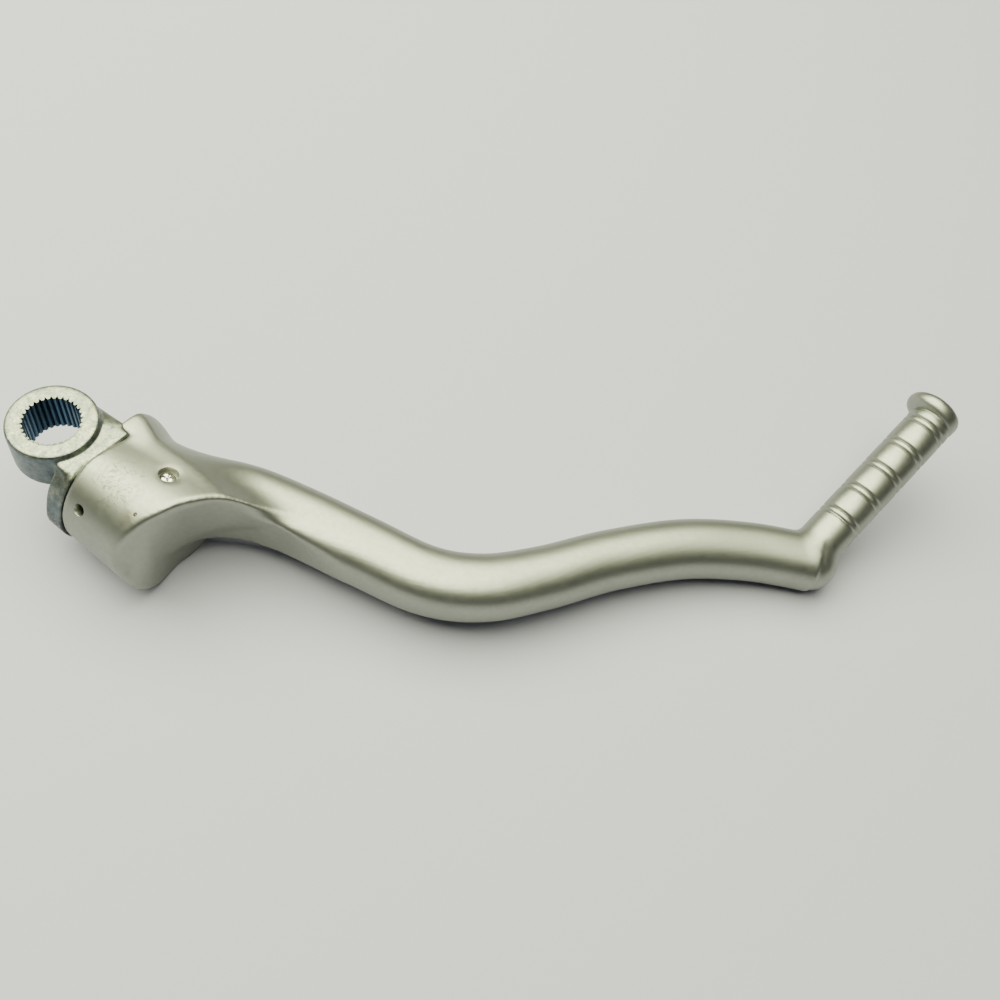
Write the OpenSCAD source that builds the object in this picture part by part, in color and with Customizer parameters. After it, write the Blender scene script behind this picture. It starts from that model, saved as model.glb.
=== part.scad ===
// Folding kick start lever of an off-road motorbike.
// Origin: centre of the splined bore. +Z is the shaft axis, +X runs along the arm.
// The pivot barrel lies level under the ring; its underside and the elbow rest on a table.
// All sizes in millimetres.

/* [Splined ring] */
// Diameter over the tips of the spline teeth
spline_minor_d = 17; // [14:0.1:20]
// Diameter at the roots of the spline teeth
spline_major_d = 18.6; // [15:0.1:22]
// Number of spline teeth
spline_teeth = 32; // [20:1:48]
// Share of the pitch that is land at a tooth's tip
tooth_land = 0.4; // [0.35:0.05:0.5]
// Outer diameter of the ring
ring_d = 28; // [26:0.5:34]
// Height of the ring along the shaft
ring_h = 15; // [12:0.5:20]
// Chamfer on the bore and on the rims of the ring
ring_chamfer = 0.8; // [0.3:0.1:1.2]

/* [Pivot] */
// Direction of the pivot axis in plan, from +X
pivot_turn = -28; // [-40:1:-15]
// Depth of the pivot axis below the middle of the ring
pivot_drop = 12; // [8:0.5:14]
// Sideways offset of the pivot axis from the shaft axis
pivot_side = 4.4; // [0:0.2:6]
// Diameter of the stub that the arm turns on
stub_d = 27; // [22:0.5:30]
// Radial clearance between the stub and its bore
run_gap = 0.05; // [0.02:0.01:0.1]
// How far the arm folds out from the pose shown
fold_angle = 100; // [60:5:110]
// Angle of the stop face where the arm rests, from level
stop_angle = 63; // [55:1:70]
// Angle that the raised ear of the arm spans around the pivot
ear_span = 100; // [60:5:110]

/* [Barrel] */
// Outer diameter of the barrel
barrel_d = 42; // [38:0.5:46]
// Distance along the pivot from the shaft axis to the front of the collar
collar_front = 12; // [11:0.5:14]
// Distance along the pivot from the shaft axis to the rim of the barrel
rim_at = 18.7; // [18:0.1:21]
// Distance along the pivot from the shaft axis to the closed end of the barrel
end_at = 48; // [46:0.5:54]
// Depth of the pivot bore behind the rim
bore_depth = 25; // [22:0.5:27]
// Gap between the collar and the rim or the ear
face_gap = 0.4; // [0.3:0.1:0.8]
// Radius around the closed end of the barrel
end_round = 4; // [3:0.5:8]
// Tilt of the flat on top of the barrel, behind the rim
flat_tilt = 8; // [6:1:12]
// Bevel on the rim of the barrel
rim_round = 0.6; // [0.3:0.1:1.5]

/* [Retaining pin] */
// Diameter of the pin that holds the stub in the barrel
pin_d = 5; // [4:0.5:6]
// Distance of the pin along the pivot from the shaft axis
pin_at = 38.8; // [34:0.2:40]
// Angle of the pin around the pivot
pin_angle = 72; // [60:1:90]

/* [Detent] */
// Diameter of the click ball
ball_d = 6; // [5:0.5:7]
// Diameter of the holes that the ball clicks into
click_hole_d = 3.6; // [3:0.1:4]
// Distance of the ball along the pivot from the shaft axis
click_at = 25.3; // [24:0.1:28]
// Angle of the ball around the pivot
click_angle = 147; // [135:1:160]
// Depth of the pocket for the ball and its spring
pocket_depth = 11; // [9:0.5:12]
// Wire diameter of the click spring
wire_d = 0.9; // [0.6:0.1:1.2]
// Number of turns of the click spring
spring_turns = 4; // [3:1:6]

/* [Arm] */
// Distance in plan from the shaft axis to the elbow, along +X
elbow_x = 243.5; // [235:0.5:255]
// Sideways place of the elbow
elbow_y = 30.2; // [22:0.2:38]
// Thickness of the arm next to the elbow
arm_end_d = 18.6; // [16:0.2:20]

/* [Peg] */
// Diameter of the foot peg
peg_d = 15.6; // [13:0.2:18]
// Length of the peg from the elbow to its lip
peg_len = 68.5; // [60:0.5:76]
// Direction of the peg in plan, from square to the pivot
peg_turn = -6; // [-15:1:10]
// Rise of the peg above level
peg_rise = 19; // [5:1:40]
// Distance of the peg's axis behind the middle of the elbow
peg_back = 2.2; // [0:0.2:4]
// Number of grooves around the peg
groove_count = 5; // [3:1:7]
// Spacing of the grooves
groove_pitch = 11; // [9:0.1:12]
// Width of a groove
groove_w = 2.5; // [1.5:0.1:3.5]
// Depth of a groove
groove_depth = 0.45; // [0.2:0.05:0.8]
// Diameter of the lip at the tip
lip_d = 19.4; // [16:0.2:21]
// Height of the lip with its crown
lip_h = 6.4; // [4:0.2:8]

/* [Hidden] */
$fn = 96;
barrel_r = barrel_d / 2;
bore_r = stub_d / 2 + run_gap;
table_z = -pivot_drop - barrel_r;
elbow_z = table_z + arm_end_d / 2;
plate_z = ring_h / 2 - 2;
stub_end = rim_at + bore_depth - 1;
ear_front = collar_front + 1.5;
ear_from = stop_angle - ear_span;
stop_play = 2;
collar_sweep = 360 - ear_span - fold_angle - stop_play;
web_sweep = 59;
groove_r = stub_d / 2 - 2.2;
ball_out = bore_r - ball_d / 2;
pocket_floor = stub_d / 2 - pocket_depth;

// Stations of the arm's centre line: x, y, z, width, height, squareness of the section
arm_line = [
    [33, -10, -12, 27, 24, 2.4],
    [45, -2.9, -12.2, 23.4, 24, 2.5],
    [59, -0.7, -13, 22, 22.6, 2.5],
    [77, -2.7, -14.6, 21.6, 21.2, 2.4],
    [98, -7.5, -15.8, 21.8, 20.5, 2.4],
    [120, -12.2, -16.8, 21.4, 20, 2.4],
    [138, -9.8, -17.8, 21.2, 19.8, 2.3],
    [156, -1, -18.8, 20.4, 19.4, 2.2],
    [176, 11.4, -20, 19.8, 19, 2.2],
    [200, 22.8, -21.2, 19.8, 18.8, 2.2],
    [223, 28.5, -22.6, 19.6, 18.6, 2.2],
    [elbow_x, elbow_y, elbow_z, 19.2, arm_end_d, 2.2]
];
steps = 3;
around = 28;

// Value on the smooth curve through four stations, at t from 0 to 1
function smooth(a, b, c, d, t) =
    0.5 * (2 * b + (c - a) * t + (2 * a - 5 * b + 4 * c - d) * t * t
    + (3 * b - a - 3 * c + d) * t * t * t);

// Station i of a list, held at its ends
function held(list, i) = list[max(0, min(len(list) - 1, i))];

// The stations with steps more of them between each two
function dense(list) = [
    for (i = [0 : len(list) - 2], k = [0 : steps - 1])
        smooth(held(list, i - 1), held(list, i), held(list, i + 1), held(list, i + 2), k / steps),
    list[len(list) - 1]
];

function unit(v) = v / norm(v);

function place(s) = [s[0], s[1], s[2]];

// Direction of the line at station i
function heading(list, i) = unit(place(held(list, i + 1)) - place(held(list, i - 1)));

// Signed power, for a rounded square section
function bulge(x, n) = sign(x) * pow(abs(x), 2 / n);

// Ring of points around station s, square to heading h
function section(s, h) =
    let (side = unit(cross([0, 0, 1], h)), rise = cross(h, side))
    [for (k = [0 : around - 1])
        let (t = 360 * k / around)
        place(s) + side * bulge(cos(t), s[5]) * s[3] / 2 + rise * bulge(sin(t), s[5]) * s[4] / 2];

// Closed skin over rings of points, with flat ends
module skin(rings) {
    n = len(rings[0]);
    m = len(rings);
    points = [for (r = rings, p = r) p];
    start = [[for (k = [0 : n - 1]) k]];
    finish = [[for (k = [n - 1 : -1 : 0]) (m - 1) * n + k]];
    sides = [
        for (i = [0 : m - 2], k = [0 : n - 1])
            let (a = i * n + k, b = i * n + (k + 1) % n)
            each [[a, a + n, b], [b, a + n, b + n]]
    ];
    polyhedron(points, concat(start, sides, finish), convexity = 6);
}

// Puts its children on the pivot: their +Z is the pivot axis, their +Y points up
module on_pivot() {
    rotate([0, 0, pivot_turn])
    translate([0, pivot_side, -pivot_drop])
    rotate([90, 0, 90])
    children();
}

// Sector of a disc about the pivot, from one angle through a sweep
module sector(r, from, sweep) {
    n = max(2, ceil(sweep / 20));
    reach = r / cos(sweep / n / 2) + 1;
    polygon(concat([[0, 0]], [for (i = [0 : n])
        reach * [cos(from + sweep * i / n), sin(from + sweep * i / n)]]));
}

// Cylinder along a radius of the pivot, at an angle and a place along it
module radial(at, angle, r_from, r_to, d) {
    translate([0, 0, at])
    rotate([0, 0, angle])
    rotate([0, 90, 0])
    translate([0, 0, r_from])
    cylinder(d = d, h = r_to - r_from, $fn = 48);
}

// Serrated outline of the bore: V grooves around a circle, with a land on each tooth
module spline_outline() {
    minor_r = spline_minor_d / 2;
    major_r = spline_major_d / 2;
    inner_r = major_r - (major_r - minor_r) / (1 - tooth_land);
    union() {
        circle(r = minor_r);
        polygon([for (i = [0 : 2 * spline_teeth - 1])
            let (t = 180 * i / spline_teeth, r = i % 2 == 0 ? major_r : inner_r)
            r * [cos(t), sin(t)]]);
    }
}

// Disc with both rims chamfered
module chamfered_disc(d, h, c) {
    rotate_extrude()
    polygon([[0, 0], [d / 2 - c, 0], [d / 2, c], [d / 2, h - c], [d / 2 - c, h], [0, h]]);
}

module splined_joint() {
    color("lightsteelblue")
    difference() {
        union() {
            translate([0, 0, -ring_h / 2])
            chamfered_disc(ring_d, ring_h, ring_chamfer);
            intersection() {
                union() {
                    neck();
                    collar();
                }
                translate([-100, -100, -100])
                cube([200, 200, 100 + plate_z]);
            }
            on_pivot()
            translate([0, 0, collar_front + 1])
            stub();
        }
        translate([0, 0, -ring_h])
        linear_extrude(2 * ring_h)
        spline_outline();
        for (end = [0, 1])
            mirror([0, 0, end])
            translate([0, 0, ring_h / 2 - ring_chamfer])
            cylinder(d1 = spline_minor_d, d2 = spline_major_d + 2 * ring_chamfer, h = ring_chamfer + 0.01);
        on_pivot()
        radial(click_at, click_angle, pocket_floor, stub_d, ball_d + 0.2);
    }
}

// Web from the ring to the collar
module neck() {
    inset = 0.6;
    hull() {
        translate([0, 0, -ring_h / 2 + inset])
        cylinder(d = ring_d - 2 * inset, h = ring_h - 2 * inset, $fn = 48);
        on_pivot()
        translate([0, 0, collar_front + inset])
        linear_extrude(1)
        intersection() {
            circle(r = barrel_r - inset, $fn = 48);
            sector(barrel_r, stop_angle + 3, web_sweep);
        }
    }
}

// Round collar in front of the barrel, cut away where the ear swings
module collar() {
    on_pivot()
    translate([0, 0, collar_front])
    linear_extrude(rim_at - face_gap - collar_front)
    intersection() {
        circle(r = barrel_r);
        union() {
            circle(r = bore_r);
            sector(barrel_r, stop_angle, collar_sweep);
        }
    }
}

// Stub that turns in the barrel, with the groove for the pin
module stub() {
    length = stub_end - collar_front - 1;
    groove = pin_at - collar_front - 1;
    half = pin_d / 2 + 0.3;
    r = stub_d / 2;
    rotate_extrude()
    polygon([
        [0, 0], [r, 0],
        [r, groove - half], [groove_r, groove - half],
        [groove_r, groove + half], [r, groove + half],
        [r, length - 1], [r - 1, length], [0, length]
    ]);
}

module lever_arm() {
    color("gainsboro")
    union() {
        difference() {
            union() {
                barrel();
                skin([for (i = [0 : len(dense(arm_line)) - 1])
                    section(dense(arm_line)[i], heading(dense(arm_line), i))]);
            }
            on_pivot()
            barrel_cuts();
        }
        translate([elbow_x, elbow_y, elbow_z])
        elbow();
    }
}

// Barrel from the front of the ear to its rounded closed end
module barrel() {
    on_pivot()
    rotate_extrude()
    polygon(concat(
        [[0, ear_front], [barrel_r - rim_round, ear_front], [barrel_r, ear_front + rim_round]],
        [for (i = [0 : 4])
            let (t = 90 * i / 4)
            [barrel_r - end_round + end_round * cos(t), end_at - end_round + end_round * sin(t)]],
        [[0, end_at]]
    ));
}

// Everything that is machined into the barrel
module barrel_cuts() {
    translate([0, 0, ear_front - 1])
    linear_extrude(rim_at - ear_front + 1)
    union() {
        circle(r = bore_r + face_gap);
        sector(barrel_r + 1, stop_angle, 360 - ear_span);
        rotate(stop_angle)
        translate([0, -face_gap])
        square([barrel_d, 1]);
    }
    translate([0, 0, rim_at - 1])
    cylinder(r = bore_r, h = bore_depth + 1);
    for (a = [click_angle, click_angle + fold_angle])
        radial(click_at, a, 0, barrel_d, click_hole_d);
    radial(pin_at, pin_angle, 0, barrel_d, pin_d);
    radial(pin_at, pin_angle, barrel_r - 1.4, barrel_d, pin_d + 2.2);
    translate([-barrel_d, pivot_drop + plate_z + 0.2 - (rim_at - collar_front) * tan(flat_tilt), collar_front])
    rotate([-flat_tilt, 0, 0])
    cube([2 * barrel_d, barrel_d, barrel_d]);
}

// Ball end of the arm with the foot peg on it
module elbow() {
    lip_shift = (lip_d - peg_d) / 2 - 0.2;
    sphere(d = arm_end_d, $fn = 48);
    translate([-peg_back, 0, 0])
    rotate([0, 0, pivot_turn + 90 + peg_turn])
    rotate([0, 90 - peg_rise, 0]) {
        peg();
        translate([0, lip_shift, peg_len])
        lip();
    }
}

// Peg with its grooves
module peg() {
    r = peg_d / 2;
    first = peg_len - 5.6 - (groove_count - 1) * groove_pitch;
    grooves = [for (i = [0 : groove_count - 1])
        let (z = first + i * groove_pitch)
        each [[r, z - groove_w / 2], [r - groove_depth, z - groove_w / 2 + groove_depth / 2],
            [r - groove_depth, z + groove_w / 2 - groove_depth / 2], [r, z + groove_w / 2]]];
    rotate_extrude()
    polygon(concat([[0, 0], [r, 0]], grooves, [[r, peg_len + 2], [0, peg_len + 2]]));
}

// Rounded lip with a low crown, at the tip of the peg
module lip() {
    round = 0.42 * lip_h;
    rotate_extrude()
    polygon(concat([[0, -0.5]], [for (i = [0 : 10])
        let (t = -70 + 150 * i / 10)
        [lip_d / 2 - round + round * cos(t), round - 0.5 + round * sin(t)]],
        [[lip_d / 4, lip_h - 0.6], [0, lip_h - 0.2]]));
}

module retaining_pin() {
    color("silver")
    on_pivot()
    difference() {
        radial(pin_at, pin_angle, groove_r + 0.35, barrel_r - 1.6, pin_d);
        radial(pin_at, pin_angle, barrel_r - 2.2, barrel_r, 2);
    }
}

module click_ball() {
    color("dimgray")
    on_pivot()
    translate([0, 0, click_at])
    rotate([0, 0, click_angle])
    translate([ball_out - 0.01, 0, 0])
    sphere(d = ball_d, $fn = 48);
}

// Compression spring under the ball
module click_spring() {
    mean_r = (ball_d - wire_d) / 2 - 0.3;
    low = pocket_floor + wire_d / 2 + 0.03;
    high = ball_out - sqrt(pow((ball_d + wire_d) / 2, 2) - pow(mean_r, 2)) - 0.03;
    turn_steps = 18;
    total = spring_turns * turn_steps;
    rings = [for (i = [0 : total])
        let (t = 360 * i / turn_steps, x = low + (high - low) * i / total)
        [for (k = [0 : 9])
            let (w = 36 * k, rad = mean_r + wire_d / 2 * cos(w))
            [x - wire_d / 2 * sin(w), rad * cos(t), rad * sin(t)]]];
    color("slategray")
    on_pivot()
    translate([0, 0, click_at])
    rotate([0, 0, click_angle])
    skin(rings);
}

lever_arm();
splined_joint();
retaining_pin();
click_ball();
click_spring();
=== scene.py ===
"""Looks of a folding kick start lever: a bead-blasted aluminium arm on a zinc-plated steel joint."""
import math

import bpy
import numpy as np
import openvdb
from mathutils import Matrix, Vector


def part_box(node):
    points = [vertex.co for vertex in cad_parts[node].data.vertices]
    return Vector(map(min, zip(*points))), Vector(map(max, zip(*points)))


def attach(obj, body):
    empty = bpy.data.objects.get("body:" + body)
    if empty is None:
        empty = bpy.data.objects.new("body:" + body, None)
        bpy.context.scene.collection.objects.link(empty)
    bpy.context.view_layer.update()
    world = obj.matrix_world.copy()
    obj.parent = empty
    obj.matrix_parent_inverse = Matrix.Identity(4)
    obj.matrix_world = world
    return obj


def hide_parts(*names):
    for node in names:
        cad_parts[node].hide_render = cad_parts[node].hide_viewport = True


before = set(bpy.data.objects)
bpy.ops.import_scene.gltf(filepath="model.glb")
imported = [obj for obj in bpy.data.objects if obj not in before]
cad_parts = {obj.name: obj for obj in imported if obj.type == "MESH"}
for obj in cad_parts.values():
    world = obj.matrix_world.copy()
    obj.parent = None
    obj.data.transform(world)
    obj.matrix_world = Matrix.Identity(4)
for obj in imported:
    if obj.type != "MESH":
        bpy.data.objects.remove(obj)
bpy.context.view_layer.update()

MM = 0.001

# Pivot: a level axis, turned in plan, below the ring and beside the shaft axis (millimetres)
TURN = math.radians(-28)
AXIS = Vector((math.cos(TURN), math.sin(TURN), 0))
SIDE = Vector((-math.sin(TURN), math.cos(TURN), 0))
PIVOT_DROP = 12.0
PIVOT_SIDE = 4.4
PIVOT = SIDE * PIVOT_SIDE - Vector((0, 0, PIVOT_DROP))

# Barrel, in the pivot's frame
BARREL_R = 21.0
BORE_R = 13.55
COLLAR_FRONT = 12.0
EAR_FRONT = 13.5
RIM = 18.7
# The closed end leans by END_SKEW above the pivot. Below it, it is shorter and bulges to both sides.
END_TOP = 52.0
END_SKEW = 0.53
END_BELOW = 44.8
END_BULGE_NEAR = 0.26
END_BULGE_FAR = 0.06
END_LEVELS = (-15, 8)
END_EDGE = 1.5
BORE_STEP = 38.0
BORE_STEP_R = 10.0
BORE_END = 43.0
FACE_GAP = 0.4
STOP_ANGLE = 63.0
EAR_FROM = -37.0
FACET_ANGLE = 72.0
FACET_AT_RIM = 18.3
FACET_TILT = math.radians(5)
FACET_FOOT = (60, 22)
FACET_FOOT_SLOPE = (0.3, 0.12)
EAR_RISE = 2.2
# Where the rise of the ear starts and stops, in degrees round the pivot and in millimetres along it
EAR_STARTS = (-50, -20)
EAR_STOPS = (62, 80)
EAR_FADES = (14, 27)
CLICK_AT = 25.3
CLICK_ANGLES = (147.0, 247.0)
CLICK_HOLE_R = 1.8
CLICK_HOLE_EDGE = 0.4
PIN_AT = 38.8
PIN_ANGLE = 72.0
PIN_R = 2.5
RECESS_R = 3.1
PIN_SEAT = 17.6
PIN_TOP = 18.5
DISH_R = 9.0
DISH_AT = 28.1
PIT = (42.2, 118.0)
TABLE = -PIVOT_DROP - BARREL_R

# Ring
RING_R = 14.0
RING_HALF = 7.5
TEETH = 32
TOOTH_TIP_R = 8.5
TOOTH_ROOT_R = 9.3
TOOTH_LAND = 0.4
MOUTH = 0.35
BORE_SHADE_R = 10
PLATE = 5.5
COLLAR_BACK = 18.66
COLLAR_SPAN = 158
COLLAR_FLARE = 0.8
WEB_NEAR = -8.5
WEB_FAR = 15.0
WEB_LEN = 15
BALL_POCKET_R = 3.1
STUB_R = 13.5
STUB_END = 42.0

# The arm's own skin starts at this x, inside the barrel
ARM_START = 30
# Arm: x, y, z, width and height of the section at each station, its squareness,
# and how square its upper edge on the viewer's side is
ARM_LINE = np.array([
    [33, -10.5, -12, 28, 24.5, 2.4, 5],
    [45, -4.4, -12.2, 26.4, 24.5, 2.4, 5],
    [59, -1.6, -13, 24, 22.8, 2.4, 4.5],
    [77, -3.2, -14.6, 22.6, 21.2, 2.4, 3.4],
    [98, -7.5, -15.8, 21.8, 20.5, 2.4, 2.7],
    [120, -12.2, -16.8, 21.4, 20, 2.4, 2.5],
    [138, -9.8, -17.8, 21.2, 19.8, 2.3, 2.3],
    [156, -1, -18.8, 20.4, 19.4, 2.2, 2.2],
    [176, 11.4, -20, 19.8, 19, 2.2, 2.2],
    [200, 22.8, -21.2, 19.8, 18.8, 2.2, 2.2],
    [223, 28.5, -22.6, 19.6, 18.6, 2.2, 2.2],
    [243.5, 30.2, -23.7, 19.2, 18.6, 2.2, 2.2],
])
# Flat wall that joins the barrel's closed end to the arm's side: x, and y at its foot and at its top
WALL = np.array([
    [14, -44, -44],
    [24, -42, -39],
    [31, -40, -32.5],
    [34.5, -38, -30],
    [37.8, -31, -27.2],
    [39.4, -24.5, -25.9],
    [42, -18, -23.8],
    [46.4, -12.6, -19.4],
    [50.5, -10.8, -16.2],
    [55, -10.1, -13.2],
    [61, -9.8, -11.4],
    [67, -10.4, -11.6],
    [74, -11.9, -12.5],
    [88, -17, -17],
    [98, -22.5, -22.5],
    [110, -30, -30],
])
# Heights of its foot and of its top
WALL_FOOT = -31.0
WALL_TOP = 5.0
ELBOW = Vector((243.5, 30.2, -23.7))
ELBOW_R = 9.3

# Peg
PEG_TURN = TURN + math.radians(84)
PEG_RISE = math.radians(19)
PEG_ACROSS = Vector((-math.sin(PEG_TURN), math.cos(PEG_TURN), 0))
PEG_ALONG = Vector((math.cos(PEG_TURN) * math.cos(PEG_RISE), math.sin(PEG_TURN) * math.cos(PEG_RISE),
                    math.sin(PEG_RISE)))
PEG_FOOT = ELBOW - Vector((2.2, 0, 0))
PEG_R = 7.8
PEG_LEN = 68.5
GROOVES = [18.9 + 11 * i for i in range(5)]
STUB_LEN = GROOVES[0] - 1.25
# One groove, a ridge between two furrows: place from its middle, and depth as a share of GROOVE_DEPTH
GROOVE_DEPTH = 1.35
GROOVE_LEAD = [(-1.95, 0), (-1.7, 0.06), (-1.3, 0.36)]
GROOVE = [(-1.15, 0.42), (-1.0, 0.36), (-0.62, 0.08), (-0.3, 0.02), (0.3, 0.02), (0.62, 0.08), (1.0, 0.36),
          (1.15, 0.42), (1.3, 0.36), (1.7, 0.06), (1.95, 0)]
# Lip: place from the end of the peg, growth of the radius, and share of LIP_SHIFT
LIP_SHIFT = 1.7
LIP = [(-1.3, -0.28, 0.0), (-0.9, -0.3, 0.0), (-0.55, 0.35, 0.3), (-0.1, 1.1, 0.65), (0.6, 1.6, 0.9),
       (1.5, 1.85, 1), (2.6, 1.88, 1), (3.5, 1.65, 0.95), (4.3, 1.1, 0.85), (4.95, 0.2, 0.75),
       (5.45, -1.2, 0.7), (5.8, -2.9, 0.65), (6.0, -4.9, 0.6), (6.1, -7.0, 0.6)]

ARM_CELLS = (1.0, 0.62)
JOINT_CELLS = (0.7, 0.38)
# Layers of the grid worked out at a time
SLAB = 32

# Camera: place in millimetres, directions, and focal length in pixels of the square frame
CAMERA_PLACE = Vector((137.09, -185.89, 302.61))
CAMERA_RIGHT = Vector((0.97592, 0.18253, 0.11945))
CAMERA_UP = Vector((-0.21814, 0.81661, 0.53438))
CAMERA_FORWARD = Vector((0, 0.54756, -0.83676))
FOCAL = 1158
FRAME_WIDTH = 1000
SENSOR = 36

# Lamp, in metres and watts; colours of the room and floor; half the floor's side in metres
# and its gap under the part in millimetres
LAMP_PLACE = (-0.5, 0.34, 1.0)
LAMP_SIZE = (2.1, 1.5)
LAMP_POWER = 102
LAMP_COLOUR = (1.0, 1.03, 0.71)
ROOM_COLOUR = (0.07, 0.075, 0.085)
FLOOR_COLOUR = (0.355, 0.354, 0.44)
FLOOR_HALF = 3.0
FLOOR_GAP = 0.05


# Fields of distance, in millimetres

def smooth_min(a, b, k):
    """Union of two fields with a fillet of size k."""
    h = np.clip(0.5 + 0.5 * (b - a) / k, 0, 1)
    return b + (a - b) * h - k * h * (1 - h)


def smooth_max(a, b, k):
    """Intersection of two fields with a rounded edge of size k."""
    return -smooth_min(-a, -b, k)


def pivot_frame(x, y, z):
    """Place along the pivot, sideways of it and above it."""
    along = x * AXIS.x + y * AXIS.y
    side = x * SIDE.x + y * SIDE.y - PIVOT_SIDE
    return along, side, z + PIVOT_DROP


def turned(angle):
    """Cosine and sine of an angle in degrees."""
    t = math.radians(angle)
    return math.cos(t), math.sin(t)


def outward(angle):
    """Direction away from the pivot at an angle round it, from sideways to upwards."""
    c, s = turned(angle)
    return SIDE * c + Vector((0, 0, s))


def catmull_rom(stations, steps):
    """Smooth curve through the stations, with steps points to each stretch."""
    padded = np.vstack([stations[0], stations, stations[-1]])
    rows = []
    for a, b, c, d in zip(padded, padded[1:], padded[2:], padded[3:]):
        for t in np.arange(steps) / steps:
            rows.append(0.5 * (2 * b + (c - a) * t + (2 * a - 5 * b + 4 * c - d) * t * t
                               + (3 * b - a - 3 * c + d) * t ** 3))
    return np.array(rows + [stations[-1]])


LINE = catmull_rom(ARM_LINE, 16)
WALL_CURVE = catmull_rom(WALL, 6)
WALL_SLOPE = np.gradient(WALL_CURVE[:, 1:], WALL_CURVE[:, 0], axis=0)
LENGTHS = np.concatenate([[0], np.cumsum(np.linalg.norm(np.diff(LINE[:, :3], axis=0), axis=1))])
HEADINGS = np.gradient(LINE[:, :3], LENGTHS, axis=0)
HEADINGS /= np.linalg.norm(HEADINGS, axis=1)[:, None]


def along_line(s, column):
    """Value on the arm's centre line at a length along it."""
    return np.interp(s, LENGTHS, column).astype(np.float32)


def arm_field(x, y, z):
    """Rounded square section swept along the arm's centre line."""
    def seen_from(s):
        heading = [along_line(s, HEADINGS[:, k]) for k in range(3)]
        offset = [p - along_line(s, LINE[:, k]) for k, p in enumerate((x, y, z))]
        return heading, offset, sum(h * o for h, o in zip(heading, offset))

    # The nearest place on the line, found in four steps
    s = np.interp(x, LINE[:, 0], LENGTHS)
    for _ in range(4):
        s = np.clip(s + seen_from(s)[2], 0, LENGTHS[-1])
    heading, offset, beyond = seen_from(s)
    level = np.hypot(heading[0], heading[1])
    side = (-heading[1] * offset[0] + heading[0] * offset[1]) / level
    rise = (level * offset[2] - heading[2] * (heading[0] * offset[0] + heading[1] * offset[1]) / level)
    wide, high, square, edge = (along_line(s, LINE[:, k]) for k in (3, 4, 5, 6))
    square = np.where((side < 0) & (rise > 0), edge, square)
    u = np.maximum(np.abs(side), 1e-3) / (wide / 2)
    w = np.maximum(np.abs(rise), 1e-3) / (high / 2)
    value = (u ** square + w ** square) ** (1 / square)
    slope = np.hypot((u / value) ** (square - 1) / (wide / 2), (w / value) ** (square - 1) / (high / 2))
    return np.maximum((value - 1) / slope, np.abs(beyond) - 0.5)


def fade(value, start, stop):
    """0 before start, 1 after stop, smooth between."""
    t = np.clip((value - start) / (stop - start), 0, 1)
    return t * t * (3 - 2 * t)


def end_field(along, side, up):
    """Closed end of the barrel."""
    high = fade(up, *END_LEVELS)
    upper = END_TOP + END_SKEW * side
    lower = END_BELOW + END_BULGE_NEAR * np.maximum(-side - 2, 0) + END_BULGE_FAR * np.maximum(side, 0)
    return along - high * upper - (1 - high) * lower


def front_field(along, side, up, radius):
    """Front of the barrel: the rim, and the ear that stands further forward."""
    stop_c, stop_s = turned(STOP_ANGLE)
    low_c, low_s = turned(EAR_FROM)
    ear = smooth_max(-side * stop_s + up * stop_c + FACE_GAP, side * low_s - up * low_c, 1)
    ear = np.maximum(ear, BORE_R + FACE_GAP - radius)
    ear = smooth_max(ear, EAR_FRONT - along, 1)
    return smooth_min(ear, RIM - along, 1.2)


def barrel_field(x, y, z):
    """Pivot barrel with its raised ear, a facet on top, and a dish round the pin."""
    along, side, up = pivot_frame(x, y, z)
    radius = np.hypot(side, up)
    angle = np.degrees(np.arctan2(up, side))
    raised = EAR_RISE * fade(angle, *EAR_STARTS) * (1 - fade(angle, *EAR_STOPS))
    raised = raised * (1 - fade(along, *EAR_FADES))
    body = smooth_max(radius - BARREL_R - raised, end_field(along, side, up) * 0.9, END_EDGE)
    c, s = turned(FACET_ANGLE)
    flat = side * c + up * s - FACET_AT_RIM - (along - RIM) * math.tan(FACET_TILT)
    foot = (angle - FACET_FOOT[0]) * FACET_FOOT_SLOPE[0] + (along - FACET_FOOT[1]) * FACET_FOOT_SLOPE[1]
    body = smooth_max(body, smooth_min(flat, foot + 1.5 * flat, 4), 3)
    body = smooth_max(body, front_field(along, side, up, radius), 1.6)
    c, s = turned(PIN_ANGLE)
    out, turn = side * c + up * s, up * c - side * s
    dish = DISH_R - np.sqrt((out - DISH_AT) ** 2 + turn ** 2 + (along - PIN_AT) ** 2)
    return smooth_max(body, np.where(out > 0, dish, -1e3), 0.8)


def wall_field(x, y, z):
    """Outside of the flat wall on the viewer's side."""
    level = np.clip((z - WALL_FOOT) / (WALL_TOP - WALL_FOOT), 0, 1)
    columns = (WALL_CURVE[:, 1], WALL_CURVE[:, 2], WALL_SLOPE[:, 0], WALL_SLOPE[:, 1])
    foot, top, foot_slope, top_slope = (np.interp(x, WALL_CURVE[:, 0], column).astype(np.float32)
                                        for column in columns)
    lean = (top - foot) / (WALL_TOP - WALL_FOOT)
    slope = foot_slope + (top_slope - foot_slope) * level
    return (foot + (top - foot) * level - y) / np.sqrt(1 + slope ** 2 + lean ** 2)


def elbow_field(x, y, z):
    """Ball end of the arm, and the foot of the peg as far as its first groove."""
    ball = np.sqrt((x - ELBOW.x) ** 2 + (y - ELBOW.y) ** 2 + (z - ELBOW.z) ** 2) - ELBOW_R
    dx, dy, dz = x - PEG_FOOT.x, y - PEG_FOOT.y, z - PEG_FOOT.z
    along = dx * PEG_ALONG.x + dy * PEG_ALONG.y + dz * PEG_ALONG.z
    radius = np.sqrt(np.maximum(dx * dx + dy * dy + dz * dz - along * along, 0))
    foot = smooth_max(smooth_max(radius - PEG_R, along - STUB_LEN, 0.8), -along, 0.5)
    return ball, foot


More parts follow.
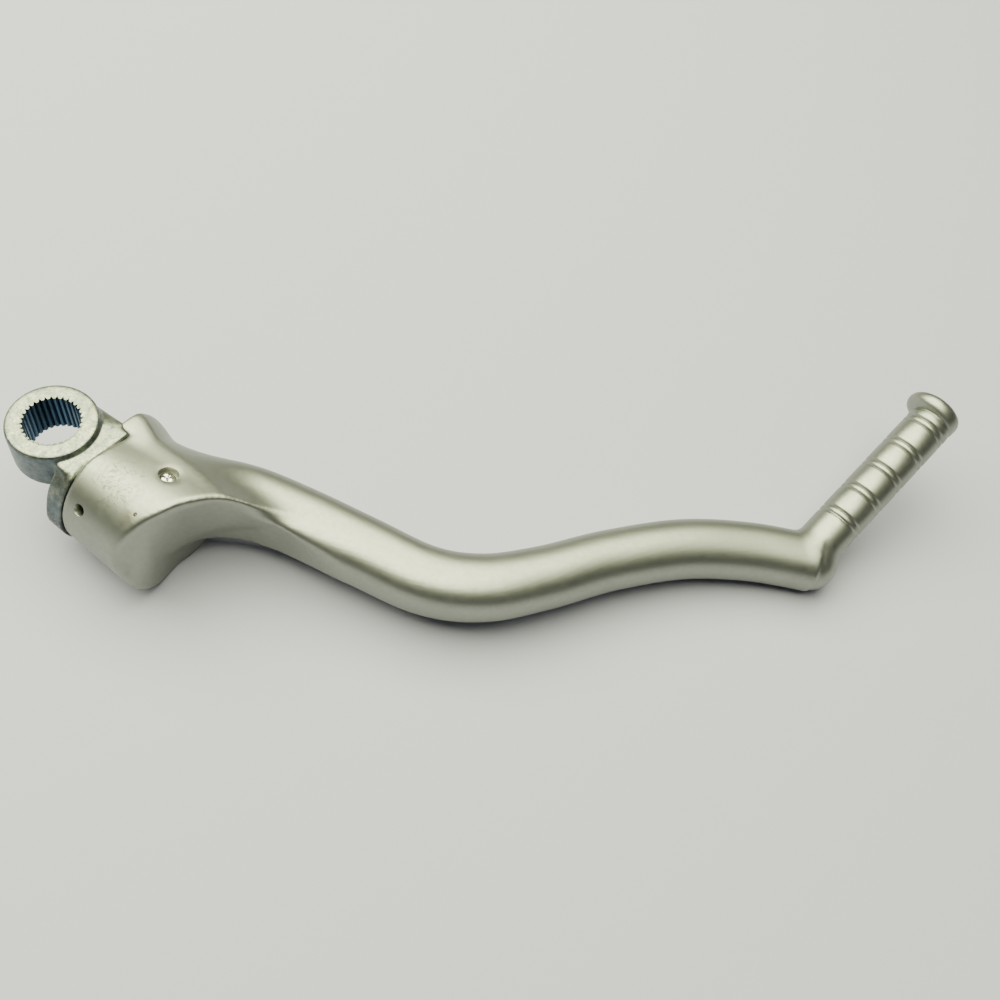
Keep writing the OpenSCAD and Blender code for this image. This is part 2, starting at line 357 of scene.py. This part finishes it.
def lever_field(x, y, z):
    """The whole forging, with a fillet where the arm leaves the barrel and the peg leaves the arm."""
    ball, foot = elbow_field(x, y, z)
    arm = smooth_min(arm_field(x, y, z), ball, 1)
    arm = smooth_min(arm, foot, 2.4)
    arm = np.maximum(arm, ARM_START - x)
    body = smooth_min(barrel_field(x, y, z), arm, 3 + 5 * fade(z, -22, -6))
    body = smooth_max(body, wall_field(x, y, z), 2.2 + 0.6 * fade(x, 60, 90))
    return np.maximum(body, TABLE + 0.02 - z)


def rounded(outs, k):
    """Intersection of several half-spaces with rounded edges."""
    body = outs[0]
    for out in outs[1:]:
        body = smooth_max(body, out, k)
    return body


def collar_field(along, side, up, radius):
    """Round collar, open on the side where the ear of the arm swings, and the hub in it."""
    start_c, start_s = turned(STOP_ANGLE)
    stop_c, stop_s = turned(STOP_ANGLE + COLLAR_SPAN)
    sector = np.maximum(side * start_s - up * start_c, -side * stop_s + up * stop_c)
    front = COLLAR_FRONT - 0.8 * fade(-up, -2, 8)
    flare = COLLAR_FLARE * fade(-up, -6, 3) * (1 - fade(side, -17, -12))
    disc = rounded([radius - BARREL_R - flare, front - along, sector], 1.0)
    disc = smooth_max(disc, along - COLLAR_BACK + 0.9 * fade(-up, 6, 15), 0.4)
    hub = np.maximum(radius - STUB_R, np.maximum(COLLAR_FRONT - along, along - COLLAR_BACK))
    return smooth_min(disc, hub, 1)


def joint_field(x, y, z):
    """Steel joint piece: ring, web, round collar and stub, before the bore is cut."""
    along, side, up = pivot_frame(x, y, z)
    radius = np.hypot(side, up)
    lateral = side + PIVOT_SIDE
    ring = rounded([np.hypot(x, y) - RING_R, np.abs(z) - RING_HALF], 1.6)
    web = rounded([-along, along - WEB_LEN, WEB_NEAR - lateral, -RING_HALF + 0.6 - z], 1)
    web = smooth_max(web, lateral - WEB_FAR, 1.2)
    collar = smooth_min(collar_field(along, side, up, radius), web, 2.5)
    slope = (lateral - 12) * 0.4 + (12 - along) * 0.2
    collar = rounded([collar, z - PLATE, (z - PLATE) * 0.7 + slope * 0.7], 1)
    bevel = (z - PLATE) * 0.75 + (along - COLLAR_BACK) * 0.55 + 0.5 - 0.04 * (lateral - 4)
    collar = smooth_max(collar, bevel, 0.5)
    body = smooth_min(ring, collar, 1.2)
    stub = rounded([radius - STUB_R, COLLAR_FRONT + 1 - along, along - BORE_STEP + 3.4], 1)
    nose = rounded([radius - BORE_STEP_R + 1, COLLAR_FRONT + 1 - along, along - STUB_END], 1)
    return np.minimum(body, np.minimum(stub, nose))


# Meshes

def linked(name, data):
    """Object in the scene's collection."""
    obj = bpy.data.objects.new(name, data)
    bpy.context.scene.collection.objects.link(obj)
    return obj


def mesh_object(name, points, faces, smooth=True):
    """Object from points in millimetres."""
    mesh = bpy.data.meshes.new(name)
    mesh.from_pydata((np.asarray(points, float) * MM).tolist(), [], faces)
    mesh.validate()
    mesh.update()
    obj = linked(name, mesh)
    if smooth:
        mesh.shade_smooth()
    return obj


def zero_level(name, values, low, step):
    """Closed skin where a grid of distances is zero."""
    edge = 3 * step
    grid = openvdb.FloatGrid(edge)
    grid.copyFromArray(np.clip(values, -edge, edge).astype(np.float32))
    points, quads = grid.convertToQuads(isovalue=0.0)
    points = np.asarray(low) + np.asarray(points) * step
    quads = np.asarray(quads)
    corners = points[quads]
    normals = np.cross(corners[:, 2] - corners[:, 0], corners[:, 3] - corners[:, 1])
    # A skin that is inside out has a negative volume
    if (corners.mean(1) * normals).sum() < 0:
        quads = quads[:, ::-1]
    return mesh_object(name, points, quads.tolist())


def field_object(name, field, low, high, step):
    """Skin of a field of distances over a box, worked out slab by slab."""
    axes = [np.arange(a, b + step, step, dtype=np.float32) for a, b in zip(low, high)]
    values = np.empty([len(a) for a in axes], np.float32)
    for i in range(0, len(axes[0]), SLAB):
        x, y, z = np.meshgrid(axes[0][i:i + SLAB], axes[1], axes[2], indexing="ij")
        values[i:i + SLAB] = field(x, y, z)
    return zero_level(name, values, low, step)


def lathe(name, rings, segments, across=Vector((1, 0, 0)), normal=Vector((0, 1, 0)),
          axis=Vector((0, 0, 1)), centre=Vector((0, 0, 0))):
    """Closed skin turned about an axis. Each ring is (place, radius, shift along across)."""
    points = []
    for place, radius, shift in rings:
        for k in range(segments):
            t = 2 * math.pi * k / segments
            points.append(centre + axis * place + across * (radius * math.cos(t) + shift)
                          + normal * (radius * math.sin(t)))
    n = segments
    faces = [list(range(n))[::-1], [(len(rings) - 1) * n + k for k in range(n)]]
    for i in range(len(rings) - 1):
        for k in range(n):
            a, b = i * n + k, i * n + (k + 1) % n
            faces.append([a, b, b + n, a + n])
    return mesh_object(name, points, faces)


def boolean(obj, tool, operation):
    """Cuts or joins the tool, and leaves a plain mesh."""
    step = obj.modifiers.new("boolean", "BOOLEAN")
    step.object, step.operation, step.solver = tool, operation, "MANIFOLD"
    bpy.context.view_layer.update()
    done = bpy.data.meshes.new_from_object(obj.evaluated_get(bpy.context.evaluated_depsgraph_get()))
    obj.modifiers.clear()
    obj.data = done
    bpy.data.objects.remove(tool, do_unlink=True)


def straight(start, stop, radius):
    """Rings of a plain round drill."""
    return [(start, radius, 0), (stop, radius, 0)]


def pivot_drill(name, place, angle, rings, segments=48):
    """Skin turned about a radius of the pivot."""
    out = outward(angle)
    return lathe(name, rings, segments, AXIS, out.cross(AXIS), out, PIVOT + AXIS * place)


def skin_in(box, name, field, cells):
    """Skin of a field over the box of a CAD node, with 2 mm to spare."""
    low, high = (Vector(corner) / MM for corner in box)
    spare = Vector((2, 2, 2))
    return field_object(name, field, low - spare, high + spare, cells[1])


def finish_shading(obj, sharp):
    """Smooth faces, with sharp edges where they meet at more than sharp degrees."""
    obj.data.shade_smooth()
    obj.data.set_sharp_from_angle(angle=math.radians(sharp))
    return obj


def lever_arm():
    """Forging with its bore, click holes, pit, pin hole and peg."""
    obj = skin_in(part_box("lever_arm"), "arm_forging", lever_field, ARM_CELLS)
    step = BORE_STEP - 3
    rings = straight(EAR_FRONT - 3, step, BORE_R) + straight(step, BORE_END, BORE_STEP_R)
    drills = [lathe("bore", rings, 96, SIDE, Vector((0, 0, 1)), AXIS, PIVOT)]
    rings = [(5, CLICK_HOLE_R, 0), (20.7, CLICK_HOLE_R, 0), (21.3, CLICK_HOLE_R + CLICK_HOLE_EDGE, 0)]
    drills += [pivot_drill("click_hole", CLICK_AT, angle, rings) for angle in CLICK_ANGLES]
    rings = [(20.2, 0.2, 0), (20.5, 0.45, 0), (20.9, 0.6, 0), (21.4, 0.75, 0)]
    drills.append(pivot_drill("pit", *PIT, rings, 16))
    drills.append(pivot_drill("pin_recess", PIN_AT, PIN_ANGLE, straight(PIN_SEAT, 26, RECESS_R)))
    drills.append(pivot_drill("pin_hole", PIN_AT, PIN_ANGLE, straight(8, 26, PIN_R)))
    for drill in drills:
        boolean(obj, drill, "DIFFERENCE")
    boolean(obj, peg(), "UNION")
    return finish_shading(obj, 55)


def retaining_pin():
    """Pin with a battered, bright head."""
    rings = [(11.7, PIN_R - 0.4, 0), (12.1, PIN_R - 0.06, 0), (PIN_TOP - 1.2, PIN_R - 0.06, 0),
             (PIN_TOP - 0.6, PIN_R - 0.25, 0), (PIN_TOP - 0.3, PIN_R - 0.7, 0),
             (PIN_TOP - 0.1, PIN_R - 1.3, 0), (PIN_TOP - 0.15, PIN_R - 1.8, 0),
             (PIN_TOP - 0.45, PIN_R - 2.2, 0)]
    segments, plain_rings = 48, 3
    obj = pivot_drill("pin_head", PIN_AT, PIN_ANGLE, rings, segments)
    out = outward(PIN_ANGLE)
    for vertex in obj.data.vertices[plain_rings * segments:]:
        around = 2 * math.pi * (vertex.index % segments) / segments
        ring = vertex.index // segments
        dent = 0.16 * math.sin(3 * around + 0.6) + 0.1 * math.sin(5 * around + 2.1 + ring)
        vertex.co += out * (dent * MM)
    return obj


def splined_joint():
    """Forging with its splined bore, the bore's chamfers and the ball's pocket."""
    obj = skin_in(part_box("splined_joint"), "steel_forging", joint_field, JOINT_CELLS)
    boolean(obj, spline_tool(), "DIFFERENCE")
    rings = [(RING_HALF - MOUTH, TOOTH_TIP_R, 0), (RING_HALF + 0.1, TOOTH_ROOT_R + 0.25, 0)]
    for end in (1, -1):
        mouth = lathe("mouth", rings, 96, axis=Vector((0, 0, end)), normal=Vector((0, end, 0)))
        boolean(obj, mouth, "DIFFERENCE")
    pocket = pivot_drill("ball_pocket", CLICK_AT, CLICK_ANGLES[0], straight(2.5, 20, BALL_POCKET_R))
    boolean(obj, pocket, "DIFFERENCE")
    return finish_shading(obj, 35)


def spline_tool():
    """Prism of the serrated bore."""
    half = 180 / TEETH * (1 - TOOTH_LAND)
    outline = []
    for i in range(TEETH):
        middle = 360 * i / TEETH
        outline += [(TOOTH_ROOT_R, middle)]
        outline += [(TOOTH_TIP_R, middle + half), (TOOTH_TIP_R, middle + 360 / TEETH - half)]
    flat = [(r * math.cos(math.radians(t)), r * math.sin(math.radians(t))) for r, t in outline]
    n = len(flat)
    points = [(x, y, z) for z in (-RING_HALF - 3, RING_HALF + 3) for x, y in flat]
    faces = [list(range(n))[::-1], [n + k for k in range(n)]]
    faces += [[k, (k + 1) % n, (k + 1) % n + n, k + n] for k in range(n)]
    return mesh_object("spline_tool", points, faces, smooth=False)


def peg():
    """Grooved peg with a lip that stands out on one side."""
    rings = [(4, PEG_R - 0.5, 0), (STUB_LEN - 0.2, PEG_R - 0.5, 0)]
    for i, middle in enumerate(GROOVES):
        profile = GROOVE if i == 0 else GROOVE_LEAD + GROOVE
        rings += [(middle + place, PEG_R - GROOVE_DEPTH * depth, 0) for place, depth in profile]
    rings += [(PEG_LEN - 2.4, PEG_R, 0), (PEG_LEN - 1.7, PEG_R - 0.12, 0)]
    rings += [(PEG_LEN + place, PEG_R + grow, LIP_SHIFT * share) for place, grow, share in LIP]
    return lathe("peg", rings, 128, PEG_ACROSS, PEG_ALONG.cross(PEG_ACROSS), PEG_ALONG, PEG_FOOT)


# Camera, light and floor

def camera():
    """Camera at the photo's place and angle, fitted to the outlines of the part."""
    data = bpy.data.cameras.new("camera")
    data.sensor_width = SENSOR
    data.lens = FOCAL / FRAME_WIDTH * SENSOR
    data.clip_start, data.clip_end = 0.01, 20
    obj = linked("camera", data)
    turn = Matrix((CAMERA_RIGHT, CAMERA_UP, -CAMERA_FORWARD)).transposed().to_4x4()
    obj.matrix_world = Matrix.Translation(CAMERA_PLACE * MM) @ turn
    bpy.context.scene.camera = obj


def lighting():
    """One wide lamp overhead, behind the part and to its left, in a dim room."""
    data = bpy.data.lights.new("ceiling", "AREA")
    data.shape, data.size, data.size_y = "RECTANGLE", *LAMP_SIZE
    data.energy, data.color = LAMP_POWER, LAMP_COLOUR
    linked("ceiling", data).matrix_world = Matrix.Translation(LAMP_PLACE)
    world = bpy.data.worlds.new("room")
    bpy.context.scene.world = world
    world.use_nodes = True
    back = world.node_tree.nodes["Background"]
    back.inputs["Color"].default_value = (*ROOM_COLOUR, 1)
    back.inputs["Strength"].default_value = 1.0


def floor():
    """Pale table top, just under the part."""
    z = (TABLE - FLOOR_GAP) * MM
    mesh = bpy.data.meshes.new("floor")
    corners = ((-1, -1), (1, -1), (1, 1), (-1, 1))
    mesh.from_pydata([(x * FLOOR_HALF, y * FLOOR_HALF, z) for x, y in corners], [], [(0, 1, 2, 3)])
    obj = linked("floor", mesh)
    material = bpy.data.materials.new("pale_floor")
    material.use_nodes = True
    shader = material.node_tree.nodes["Principled BSDF"]
    shader.inputs["Base Color"].default_value = (*FLOOR_COLOUR, 1)
    shader.inputs["Roughness"].default_value = 0.9
    shader.inputs["Specular IOR Level"].default_value = 0.1
    mesh.materials.append(material)


# Materials

class Shader:
    """A metal's node material under construction."""

    def __init__(self, name):
        self.material = bpy.data.materials.new(name)
        self.material.use_nodes = True
        self.tree = self.material.node_tree
        self.surface = self.tree.nodes["Principled BSDF"]
        self.surface.inputs["Metallic"].default_value = 1.0
        self.place = self.node("ShaderNodeTexCoord").outputs["Object"]

    def node(self, kind, **settings):
        made = self.tree.nodes.new(kind)
        for key, value in settings.items():
            setattr(made, key, value)
        return made

    def join(self, source, target):
        self.tree.links.new(source, target)

    def noise(self, size, detail, roughness=0.5, distortion=0.0):
        """Noise whose lumps are about size millimetres."""
        made = self.node("ShaderNodeTexNoise")
        made.inputs["Scale"].default_value = 1 / (size * MM)
        made.inputs["Detail"].default_value = detail
        made.inputs["Roughness"].default_value = roughness
        made.inputs["Distortion"].default_value = distortion
        self.join(self.place, made.inputs["Vector"])
        return made.outputs["Fac"]

    def ramp(self, value, stops):
        """Grey or colour by value: stops are (place, grey or colour)."""
        made = self.node("ShaderNodeValToRGB")
        points = made.color_ramp.elements
        while len(points) < len(stops):
            points.new(0.5)
        for point, (place, tone) in zip(points, stops):
            point.position = place
            point.color = (*(tone if isinstance(tone, tuple) else (tone,) * 3), 1)
        self.join(value, made.inputs["Fac"])
        return made.outputs["Color"]

    def mix(self, share, a, b):
        """From a to b as share goes from 0 to 1; a and b are colours or sockets."""
        made = self.node("ShaderNodeMix", data_type="RGBA")
        for key, value in (("Factor", share), ("A", a), ("B", b)):
            socket = next(i for i in made.inputs if i.name == key and i.enabled)
            if isinstance(value, tuple):
                socket.default_value = (*value, 1)
            else:
                self.join(value, socket)
        return next(o for o in made.outputs if o.enabled)

    def math(self, operation, a, b=0.0):
        """One step of arithmetic; a and b are numbers or sockets."""
        made = self.node("ShaderNodeMath", operation=operation)
        for socket, value in zip(made.inputs, (a, b)):
            if isinstance(value, (int, float)):
                socket.default_value = value
            else:
                self.join(value, socket)
        return made.outputs[0]

    def times(self, *values):
        """Product of two or more values."""
        product = values[0]
        for value in values[1:]:
            product = self.math("MULTIPLY", product, value)
        return product

    def split(self, value):
        """The x, y and z of a vector."""
        made = self.node("ShaderNodeSeparateXYZ")
        self.join(value, made.inputs[0])
        return made.outputs

    def near(self, place, size, soft):
        """0 beyond size millimetres from a place, rising to 1 over the outer part soft of that way."""
        made = self.node("ShaderNodeVectorMath", operation="DISTANCE")
        self.join(self.place, made.inputs[0])
        made.inputs[1].default_value = Vector(place) * MM
        share = self.math("DIVIDE", made.outputs["Value"], size * MM)
        return self.ramp(share, [(1 - soft, 1.0), (1.0, 0.0)])

    def bump(self, *layers):
        """Relief: (height field, millimetres, strength) from coarse to fine."""
        normal = None
        for field, height, strength in layers:
            made = self.node("ShaderNodeBump")
            made.inputs["Distance"].default_value = height * MM
            made.inputs["Strength"].default_value = strength
            self.join(field, made.inputs["Height"])
            if normal is not None:
                self.join(normal, made.inputs["Normal"])
            normal = made.outputs["Normal"]
        self.join(normal, self.surface.inputs["Normal"])

    def colour(self, value):
        self.join(value, self.surface.inputs["Base Color"])

    def rough(self, value):
        self.join(value, self.surface.inputs["Roughness"])


def barrel_place(along, angle, radius=BARREL_R):
    """Point of the frame at a place along the pivot and an angle round it."""
    c, s = turned(angle)
    return PIVOT + AXIS * along + SIDE * (radius * c) + Vector((0, 0, radius * s))


def aluminium():
    """Bead-blasted aluminium: fine grain, faint clouding, stains and a spot on the barrel, and painted
    shade in the click hole.
    """
    m = Shader("blasted_aluminium")
    clouds = m.noise(22, 3)
    mottle = m.noise(1.6, 3, 0.6)
    grain = m.noise(0.32, 2, 0.6)
    tone = m.mix(m.ramp(clouds, [(0.35, 0.0), (0.65, 1.0)]), (0.268, 0.277, 0.244), (0.292, 0.301, 0.265))
    tone = m.mix(m.ramp(mottle, [(0.35, 0.0), (0.7, 0.35)]), tone, (0.23, 0.235, 0.21))
    tone = m.mix(m.ramp(grain, [(0.3, 0.0), (0.75, 0.3)]), tone, (0.33, 0.338, 0.3))
    # Wrinkled edges of dried stains on top of the barrel
    stain = m.noise(4.5, 3, 0.6, 0.8)
    outline = m.ramp(stain, [(0.38, 0.0), (0.41, 1.0), (0.44, 0.0), (0.49, 0.0), (0.52, 1.0), (0.55, 0.0)])
    zone = m.near(barrel_place(31, 106), 10, 0.5)
    tone = m.mix(m.times(outline, zone, 0.75), tone, (0.1, 0.1, 0.07))
    # Brown spot round the pit
    spot = m.near(barrel_place(41, 122), 3.8, 0.8)
    tone = m.mix(m.times(spot, mottle, 0.8), tone, (0.14, 0.13, 0.08))
    # Painted shade in the click hole
    click_hole_shade = m.near(barrel_place(CLICK_AT, CLICK_ANGLES[0], 18), 2.7, 0.4)
    tone = m.mix(m.times(click_hole_shade, 0.9), tone, (0.04, 0.04, 0.03))
    m.colour(tone)
    m.rough(m.ramp(mottle, [(0.3, 0.38), (0.7, 0.45)]))
    m.bump((mottle, 0.05, 0.25), (grain, 0.02, 0.5))
    return m.material


def bore_shade_mask(m):
    """Where shade is painted in the bore: 1 on the splines inside the ring, 0 elsewhere."""
    flat = m.node("ShaderNodeVectorMath", operation="MULTIPLY")
    m.join(m.place, flat.inputs[0])
    flat.inputs[1].default_value = (1, 1, 0)
    radius = m.node("ShaderNodeVectorMath", operation="LENGTH")
    m.join(flat.outputs[0], radius.inputs[0])
    reach = m.math("DIVIDE", radius.outputs["Value"], BORE_SHADE_R * MM)
    inside = m.ramp(reach, [(0.935, 1.0), (0.955, 0.0)])
    level = m.math("DIVIDE", m.math("ABSOLUTE", m.split(m.place)["Z"]), RING_HALF * MM)
    return m.times(inside, m.ramp(level, [(0.93, 1.0), (0.96, 0.0)]))


def zinc_steel():
    """Zinc-plated forging with painted light: upper faces painted yellowish as if lit, sides bluish grey
    as if shaded, and painted shade, dark bluish, in the bore and under the click hole.
    """
    m = Shader("plated_steel")
    blotch = m.noise(2.2, 4, 0.65)
    speck = m.noise(0.7, 3, 0.7)
    wide = m.noise(7, 2)
    patchy = m.ramp(blotch, [(0.35, 0.0), (0.65, 1.0)])
    painted_lit_tone = m.mix(patchy, (0.15, 0.172, 0.138), (0.345, 0.352, 0.275))
    painted_shaded_tone = m.mix(patchy, (0.06, 0.08, 0.095), (0.13, 0.15, 0.16))
    # Painted light: the upper faces are painted yellowish as if lit and the sides bluish grey as if
    # shaded, with an uneven line between them
    facing = m.split(m.node("ShaderNodeTexCoord").outputs["Normal"])["Z"]
    top = m.math("ADD", facing, m.times(m.math("SUBTRACT", blotch, 0.5), 0.5))
    tone = m.mix(m.ramp(top, [(0.35, 0.0), (0.8, 1.0)]), painted_shaded_tone, painted_lit_tone)
    tone = m.mix(m.ramp(speck, [(0.5, 0.0), (0.7, 0.7)]), tone, (0.09, 0.105, 0.095))
    tone = m.mix(m.ramp(wide, [(0.45, 0.0), (0.7, 0.3)]), tone, (0.14, 0.175, 0.19))
    # Rough, dark lower edge of the collar
    rust = m.times(m.near(barrel_place(15.5, 194), 9, 0.5), m.ramp(speck, [(0.42, 0.0), (0.5, 0.95)]))
    tone = m.mix(rust, tone, (0.03, 0.032, 0.03))
    # Painted shade on the stub under the click hole
    click_hole_shade = m.near(barrel_place(CLICK_AT, CLICK_ANGLES[0], 14), 4, 0.3)
    tone = m.mix(m.times(click_hole_shade, 0.9), tone, (0.04, 0.04, 0.03))
    # Painted shade: the splines in the bore are painted dark bluish
    tone = m.mix(bore_shade_mask(m), tone, (0.05, 0.1, 0.165))
    m.colour(tone)
    m.rough(m.ramp(speck, [(0.3, 0.3), (0.7, 0.5)]))
    m.bump((wide, 0.35, 0.25), (blotch, 0.16, 0.45), (speck, 0.05, 0.5))
    return m.material


def bright_steel(name, tone, rough_low, rough_high, relief):
    """Bare steel of the small pieces."""
    m = Shader(name)
    fine = m.noise(0.5, 3, 0.6)
    m.colour(m.ramp(fine, [(0.3, tuple(c * 0.8 for c in tone)), (0.7, tone)]))
    m.rough(m.ramp(fine, [(0.3, rough_low), (0.7, rough_high)]))
    m.bump((fine, relief, 0.5))
    return m.material


def dress(obj, material, body, slot, *nodes):
    """Puts a piece in the scene for its CAD node."""
    obj.data.materials.clear()
    obj.data.materials.append(material)
    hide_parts(*nodes)
    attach(obj, body)


camera()
floor()
lighting()
dress(lever_arm(), aluminium(), "arm", "cast_alloy", "lever_arm")
dress(splined_joint(), zinc_steel(), "joint_piece", "zinc_steel", "splined_joint")
dress(retaining_pin(), bright_steel("pin_steel", (0.62, 0.62, 0.57), 0.2, 0.35, 0.1),
      "arm", "pin_steel", "retaining_pin")
# The ball and the spring are hidden and keep their CAD shapes
small = {"click_ball": bright_steel("ball_steel", (0.6, 0.61, 0.62), 0.12, 0.2, 0.01),
         "click_spring": bright_steel("spring_steel", (0.35, 0.35, 0.36), 0.3, 0.45, 0.02)}
for name, material in small.items():
    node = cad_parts[name]
    node.data.materials.clear()
    node.data.materials.append(material)
